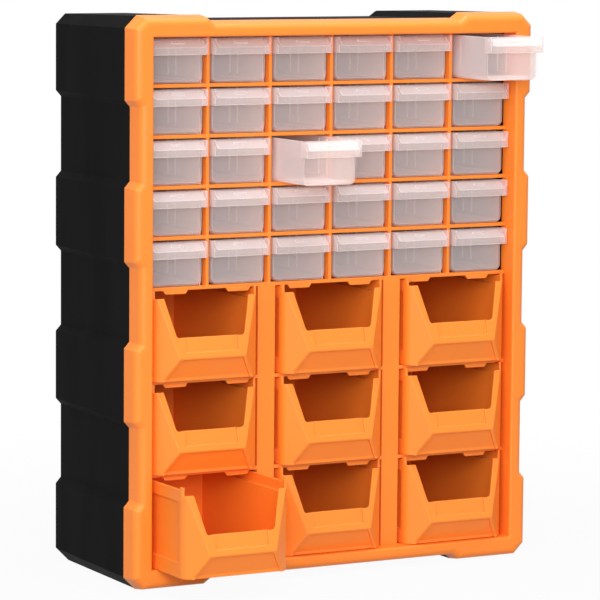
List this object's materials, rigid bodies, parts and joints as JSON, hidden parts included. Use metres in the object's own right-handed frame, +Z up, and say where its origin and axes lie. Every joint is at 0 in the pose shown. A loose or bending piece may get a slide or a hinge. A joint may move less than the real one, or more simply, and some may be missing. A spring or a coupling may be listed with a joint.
{
  "type": "multi-drawer organizer",
  "caption": "Free-standing drawer cabinet: a stepped dark housing with an orange front frame that holds rows of clear small drawers over rows of open-fronted orange bins.",
  "frame": {"origin": "centre of the cabinet's base, on the plane its feet stand on", "axes": "+Z up, +X to the right and +Y to the back, seen by a person who faces the drawers"},
  "size_m": [0.38, 0.2205, 0.47],
  "materials": {
    "housing": "satin black moulded plastic",
    "frame": "satin orange moulded plastic",
    "bin": "satin orange moulded plastic",
    "drawer": "clear, slightly milky moulded plastic"
  },
  "bodies": {
    "cabinet": {"rear_housing": "housing", "front_frame": "frame", "front_lattice": "frame", "stop_tabs": "frame", "rack_sides": "housing", "rack_floor": "housing", "rack_top": "housing", "bin_uprights": "housing", "shelf_1": "housing", "shelf_2": "housing", "shelf_3": "housing", "shelf_4": "housing", "shelf_5": "housing", "shelf_6": "housing", "shelf_7": "housing", "guides_row_1": "housing", "guides_row_2": "housing", "guides_row_3": "housing", "guides_row_4": "housing", "guides_row_5": "housing"},
    "small_drawer_r1c1": {"small_drawer_r1c1": "drawer"},
    "small_drawer_r1c2": {"small_drawer_r1c2": "drawer"},
    "small_drawer_r1c3": {"small_drawer_r1c3": "drawer"},
    "small_drawer_r1c4": {"small_drawer_r1c4": "drawer"},
    "small_drawer_r1c5": {"small_drawer_r1c5": "drawer"},
    "small_drawer_r1c6": {"small_drawer_r1c6": "drawer"},
    "small_drawer_r2c1": {"small_drawer_r2c1": "drawer"},
    "small_drawer_r2c2": {"small_drawer_r2c2": "drawer"},
    "small_drawer_r2c3": {"small_drawer_r2c3": "drawer"},
    "small_drawer_r2c4": {"small_drawer_r2c4": "drawer"},
    "small_drawer_r2c5": {"small_drawer_r2c5": "drawer"},
    "small_drawer_r2c6": {"small_drawer_r2c6": "drawer"},
    "small_drawer_r3c1": {"small_drawer_r3c1": "drawer"},
    "small_drawer_r3c2": {"small_drawer_r3c2": "drawer"},
    "small_drawer_r3c3": {"small_drawer_r3c3": "drawer"},
    "small_drawer_r3c4": {"small_drawer_r3c4": "drawer"},
    "small_drawer_r3c5": {"small_drawer_r3c5": "drawer"},
    "small_drawer_r3c6": {"small_drawer_r3c6": "drawer"},
    "small_drawer_r4c1": {"small_drawer_r4c1": "drawer"},
    "small_drawer_r4c2": {"small_drawer_r4c2": "drawer"},
    "small_drawer_r4c3": {"small_drawer_r4c3": "drawer"},
    "small_drawer_r4c4": {"small_drawer_r4c4": "drawer"},
    "small_drawer_r4c5": {"small_drawer_r4c5": "drawer"},
    "small_drawer_r4c6": {"small_drawer_r4c6": "drawer"},
    "small_drawer_r5c1": {"small_drawer_r5c1": "drawer"},
    "small_drawer_r5c2": {"small_drawer_r5c2": "drawer"},
    "small_drawer_r5c3": {"small_drawer_r5c3": "drawer"},
    "small_drawer_r5c4": {"small_drawer_r5c4": "drawer"},
    "small_drawer_r5c5": {"small_drawer_r5c5": "drawer"},
    "small_drawer_r5c6": {"small_drawer_r5c6": "drawer"},
    "bin_r1c1": {"bin_r1c1": "bin"},
    "bin_r1c2": {"bin_r1c2": "bin"},
    "bin_r1c3": {"bin_r1c3": "bin"},
    "bin_r2c1": {"bin_r2c1": "bin"},
    "bin_r2c2": {"bin_r2c2": "bin"},
    "bin_r2c3": {"bin_r2c3": "bin"},
    "bin_r3c1": {"bin_r3c1": "bin"},
    "bin_r3c2": {"bin_r3c2": "bin"},
    "bin_r3c3": {"bin_r3c3": "bin"}
  },
  "joints": [
    {"name": "slide_small_drawer_r1c1", "type": "slide", "parent": "cabinet", "child": "small_drawer_r1c1", "axis": [0, -1, 0], "range_m": [0, 0.1328]},
    {"name": "slide_small_drawer_r1c2", "type": "slide", "parent": "cabinet", "child": "small_drawer_r1c2", "axis": [0, -1, 0], "range_m": [0, 0.1328]},
    {"name": "slide_small_drawer_r1c3", "type": "slide", "parent": "cabinet", "child": "small_drawer_r1c3", "axis": [0, -1, 0], "range_m": [0, 0.1328]},
    {"name": "slide_small_drawer_r1c4", "type": "slide", "parent": "cabinet", "child": "small_drawer_r1c4", "axis": [0, -1, 0], "range_m": [0, 0.1328]},
    {"name": "slide_small_drawer_r1c5", "type": "slide", "parent": "cabinet", "child": "small_drawer_r1c5", "axis": [0, -1, 0], "range_m": [0, 0.1328]},
    {"name": "slide_small_drawer_r1c6", "type": "slide", "parent": "cabinet", "child": "small_drawer_r1c6", "axis": [0, -1, 0], "range_m": [-0.053, 0.0798]},
    {"name": "slide_small_drawer_r2c1", "type": "slide", "parent": "cabinet", "child": "small_drawer_r2c1", "axis": [0, -1, 0], "range_m": [0, 0.1328]},
    {"name": "slide_small_drawer_r2c2", "type": "slide", "parent": "cabinet", "child": "small_drawer_r2c2", "axis": [0, -1, 0], "range_m": [0, 0.1328]},
    {"name": "slide_small_drawer_r2c3", "type": "slide", "parent": "cabinet", "child": "small_drawer_r2c3", "axis": [0, -1, 0], "range_m": [0, 0.1328]},
    {"name": "slide_small_drawer_r2c4", "type": "slide", "parent": "cabinet", "child": "small_drawer_r2c4", "axis": [0, -1, 0], "range_m": [0, 0.1328]},
    {"name": "slide_small_drawer_r2c5", "type": "slide", "parent": "cabinet", "child": "small_drawer_r2c5", "axis": [0, -1, 0], "range_m": [0, 0.1328]},
    {"name": "slide_small_drawer_r2c6", "type": "slide", "parent": "cabinet", "child": "small_drawer_r2c6", "axis": [0, -1, 0], "range_m": [0, 0.1328]},
    {"name": "slide_small_drawer_r3c1", "type": "slide", "parent": "cabinet", "child": "small_drawer_r3c1", "axis": [0, -1, 0], "range_m": [0, 0.1328]},
    {"name": "slide_small_drawer_r3c2", "type": "slide", "parent": "cabinet", "child": "small_drawer_r3c2", "axis": [0, -1, 0], "range_m": [0, 0.1328]},
    {"name": "slide_small_drawer_r3c3", "type": "slide", "parent": "cabinet", "child": "small_drawer_r3c3", "axis": [0, -1, 0], "range_m": [-0.051, 0.0818]},
    {"name": "slide_small_drawer_r3c4", "type": "slide", "parent": "cabinet", "child": "small_drawer_r3c4", "axis": [0, -1, 0], "range_m": [0, 0.1328]},
    {"name": "slide_small_drawer_r3c5", "type": "slide", "parent": "cabinet", "child": "small_drawer_r3c5", "axis": [0, -1, 0], "range_m": [0, 0.1328]},
    {"name": "slide_small_drawer_r3c6", "type": "slide", "parent": "cabinet", "child": "small_drawer_r3c6", "axis": [0, -1, 0], "range_m": [0, 0.1328]},
    {"name": "slide_small_drawer_r4c1", "type": "slide", "parent": "cabinet", "child": "small_drawer_r4c1", "axis": [0, -1, 0], "range_m": [0, 0.1328]},
    {"name": "slide_small_drawer_r4c2", "type": "slide", "parent": "cabinet", "child": "small_drawer_r4c2", "axis": [0, -1, 0], "range_m": [0, 0.1328]},
    {"name": "slide_small_drawer_r4c3", "type": "slide", "parent": "cabinet", "child": "small_drawer_r4c3", "axis": [0, -1, 0], "range_m": [0, 0.1328]},
    {"name": "slide_small_drawer_r4c4", "type": "slide", "parent": "cabinet", "child": "small_drawer_r4c4", "axis": [0, -1, 0], "range_m": [0, 0.1328]},
    {"name": "slide_small_drawer_r4c5", "type": "slide", "parent": "cabinet", "child": "small_drawer_r4c5", "axis": [0, -1, 0], "range_m": [0, 0.1328]},
    {"name": "slide_small_drawer_r4c6", "type": "slide", "parent": "cabinet", "child": "small_drawer_r4c6", "axis": [0, -1, 0], "range_m": [0, 0.1328]},
    {"name": "slide_small_drawer_r5c1", "type": "slide", "parent": "cabinet", "child": "small_drawer_r5c1", "axis": [0, -1, 0], "range_m": [0, 0.1328]},
    {"name": "slide_small_drawer_r5c2", "type": "slide", "parent": "cabinet", "child": "small_drawer_r5c2", "axis": [0, -1, 0], "range_m": [0, 0.1328]},
    {"name": "slide_small_drawer_r5c3", "type": "slide", "parent": "cabinet", "child": "small_drawer_r5c3", "axis": [0, -1, 0], "range_m": [0, 0.1328]},
    {"name": "slide_small_drawer_r5c4", "type": "slide", "parent": "cabinet", "child": "small_drawer_r5c4", "axis": [0, -1, 0], "range_m": [0, 0.1328]},
    {"name": "slide_small_drawer_r5c5", "type": "slide", "parent": "cabinet", "child": "small_drawer_r5c5", "axis": [0, -1, 0], "range_m": [0, 0.1328]},
    {"name": "slide_small_drawer_r5c6", "type": "slide", "parent": "cabinet", "child": "small_drawer_r5c6", "axis": [0, -1, 0], "range_m": [0, 0.1328]},
    {"name": "slide_bin_r1c1", "type": "slide", "parent": "cabinet", "child": "bin_r1c1", "axis": [0, -1, 0], "range_m": [0, 0.1364]},
    {"name": "slide_bin_r1c2", "type": "slide", "parent": "cabinet", "child": "bin_r1c2", "axis": [0, -1, 0], "range_m": [0, 0.1364]},
    {"name": "slide_bin_r1c3", "type": "slide", "parent": "cabinet", "child": "bin_r1c3", "axis": [0, -1, 0], "range_m": [0, 0.1364]},
    {"name": "slide_bin_r2c1", "type": "slide", "parent": "cabinet", "child": "bin_r2c1", "axis": [0, -1, 0], "range_m": [0, 0.1364]},
    {"name": "slide_bin_r2c2", "type": "slide", "parent": "cabinet", "child": "bin_r2c2", "axis": [0, -1, 0], "range_m": [0, 0.1364]},
    {"name": "slide_bin_r2c3", "type": "slide", "parent": "cabinet", "child": "bin_r2c3", "axis": [0, -1, 0], "range_m": [0, 0.1364]},
    {"name": "slide_bin_r3c1", "type": "slide", "parent": "cabinet", "child": "bin_r3c1", "axis": [0, -1, 0], "range_m": [-0.055, 0.0814]},
    {"name": "slide_bin_r3c2", "type": "slide", "parent": "cabinet", "child": "bin_r3c2", "axis": [0, -1, 0], "range_m": [0, 0.1364]},
    {"name": "slide_bin_r3c3", "type": "slide", "parent": "cabinet", "child": "bin_r3c3", "axis": [0, -1, 0], "range_m": [0, 0.1364]}
  ]
}
